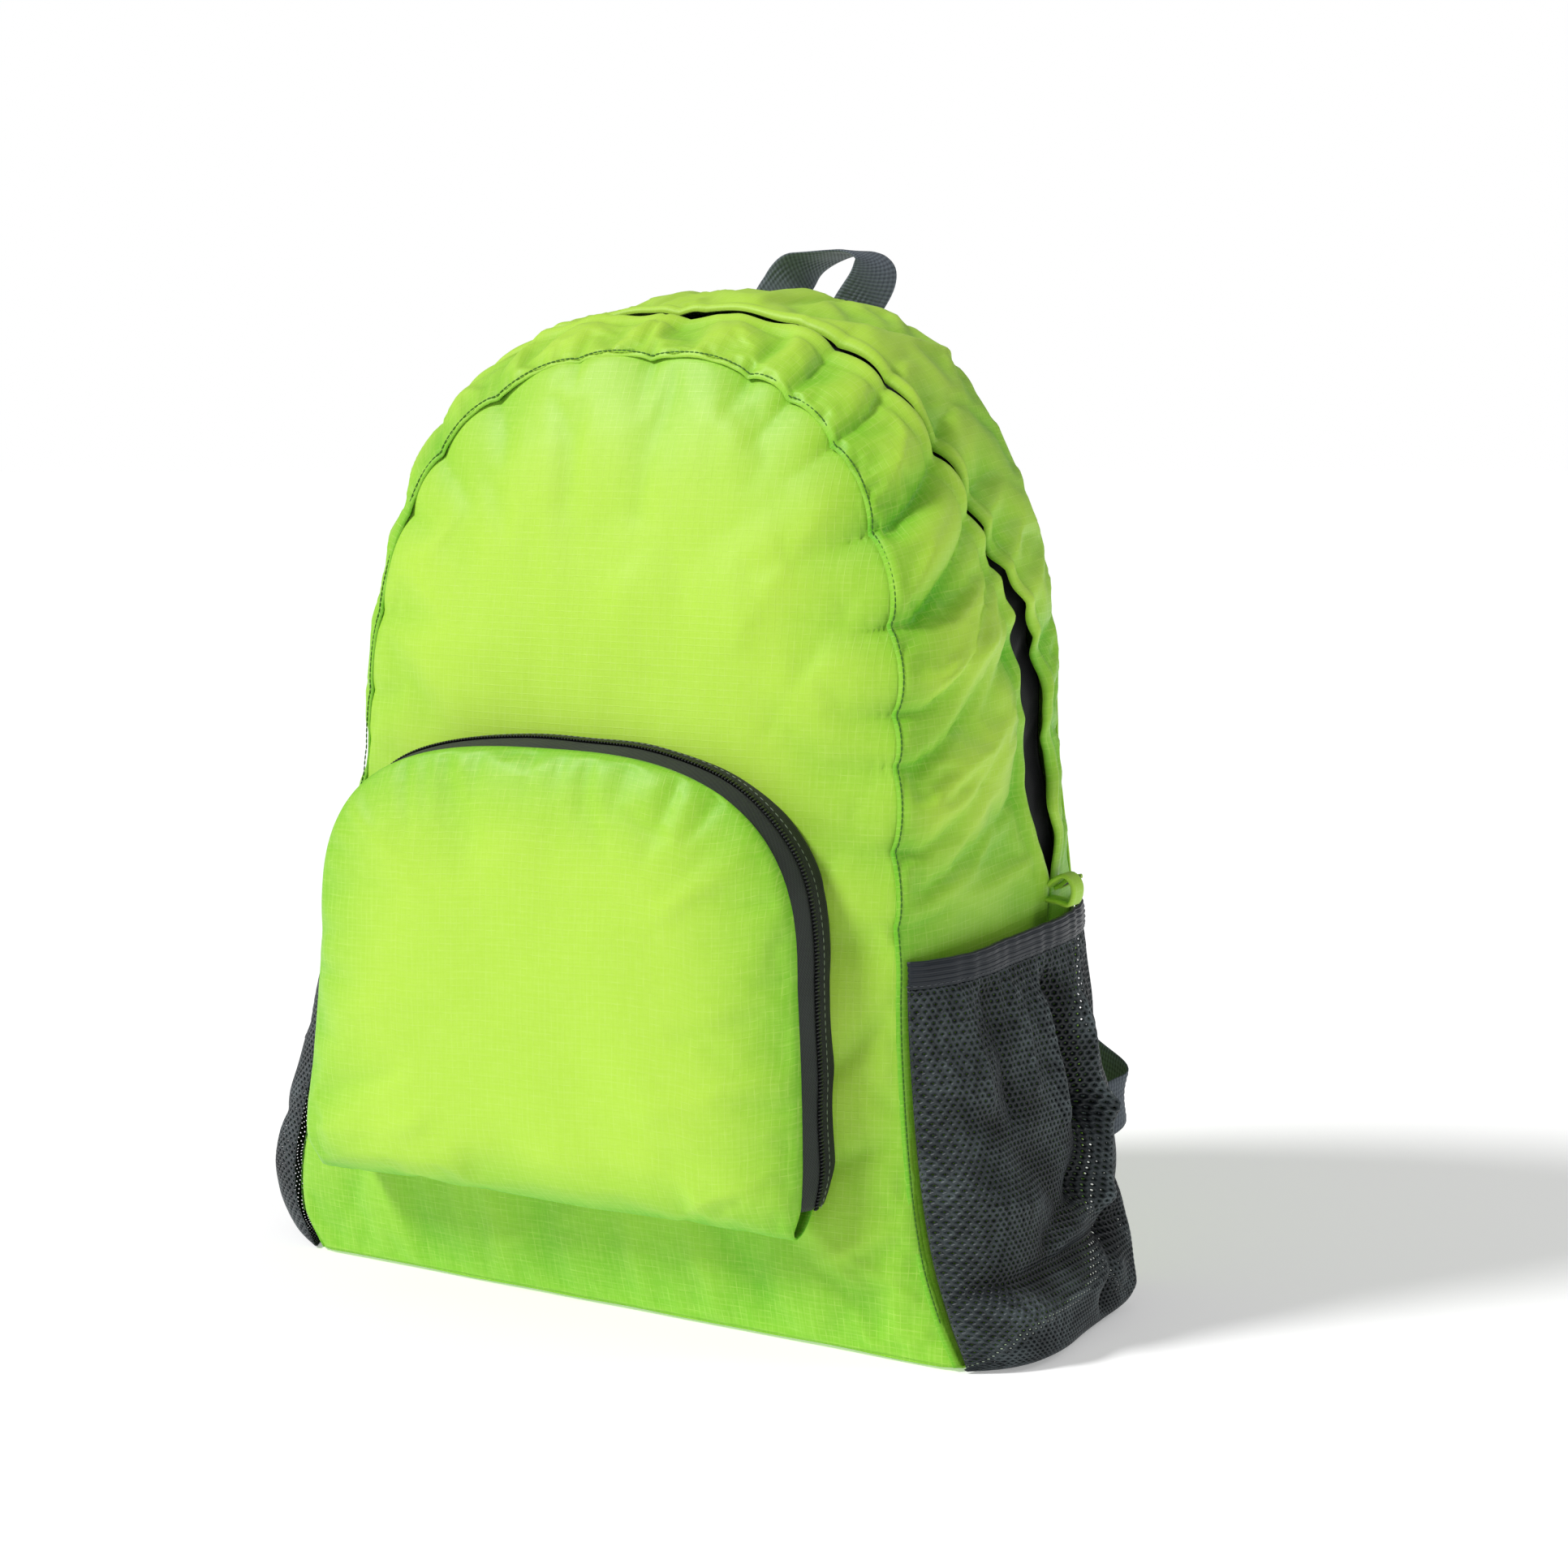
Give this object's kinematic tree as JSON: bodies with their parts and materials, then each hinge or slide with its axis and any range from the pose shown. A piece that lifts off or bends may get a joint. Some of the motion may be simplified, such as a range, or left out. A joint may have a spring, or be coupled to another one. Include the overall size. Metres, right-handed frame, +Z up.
{
  "type": "packable backpack",
  "caption": "Light soft backpack, arched and standing, with a hidden arched main zip, a zipped front pocket, net side pockets, a carry handle and padded shoulder straps.",
  "frame": {"origin": "a point on the flat underside, midway between the foot of the bag's sides", "axes": "+Z up to the carry handle, the zipped front pocket faces -Y, the shoulder straps are on +Y, +X is on the right for someone looking at the front pocket"},
  "size_m": [0.4094, 0.2251, 0.4655],
  "materials": {
    "ripstop": "thin lime ripstop, slight sheen, small square grid",
    "zip_black": "black woven zip tape and coil",
    "zip_tape": "dark grey woven zip tape",
    "net": "charcoal knitted net",
    "binding": "charcoal elastic binding",
    "webbing": "charcoal ribbed webbing",
    "strap_cloth": "charcoal padded spacer cloth",
    "zip_hardware": "black painted zip slider",
    "buckle_plastic": "black moulded plastic"
  },
  "bodies": {
    "root": {"front_panel": "ripstop", "back_panel": "ripstop", "side_panel_right": "ripstop", "side_panel_left": "ripstop", "gusset_front": "ripstop", "gusset_rear": "ripstop", "main_zip_tape": "zip_black", "main_zip_coil": "zip_black", "zip_tab_right": "ripstop", "zip_tab_left": "ripstop", "bottom_panel": "ripstop", "pocket_face": "ripstop", "pocket_zip_tape": "zip_tape", "pocket_zip_coil": "zip_black", "main_zip_slider": "zip_hardware", "main_zip_pull": "zip_hardware", "pocket_zip_slider": "zip_hardware", "pocket_zip_pull": "zip_hardware", "net_pocket_right": "net", "net_band_right": "binding", "net_pocket_left": "net", "net_band_left": "binding", "carry_handle": "webbing", "shoulder_strap_right": "strap_cloth", "strap_buckle_right": "buckle_plastic", "strap_webbing_right": "webbing", "shoulder_strap_left": "strap_cloth", "strap_buckle_left": "buckle_plastic", "strap_webbing_left": "webbing"}
  },
  "joints": []
}
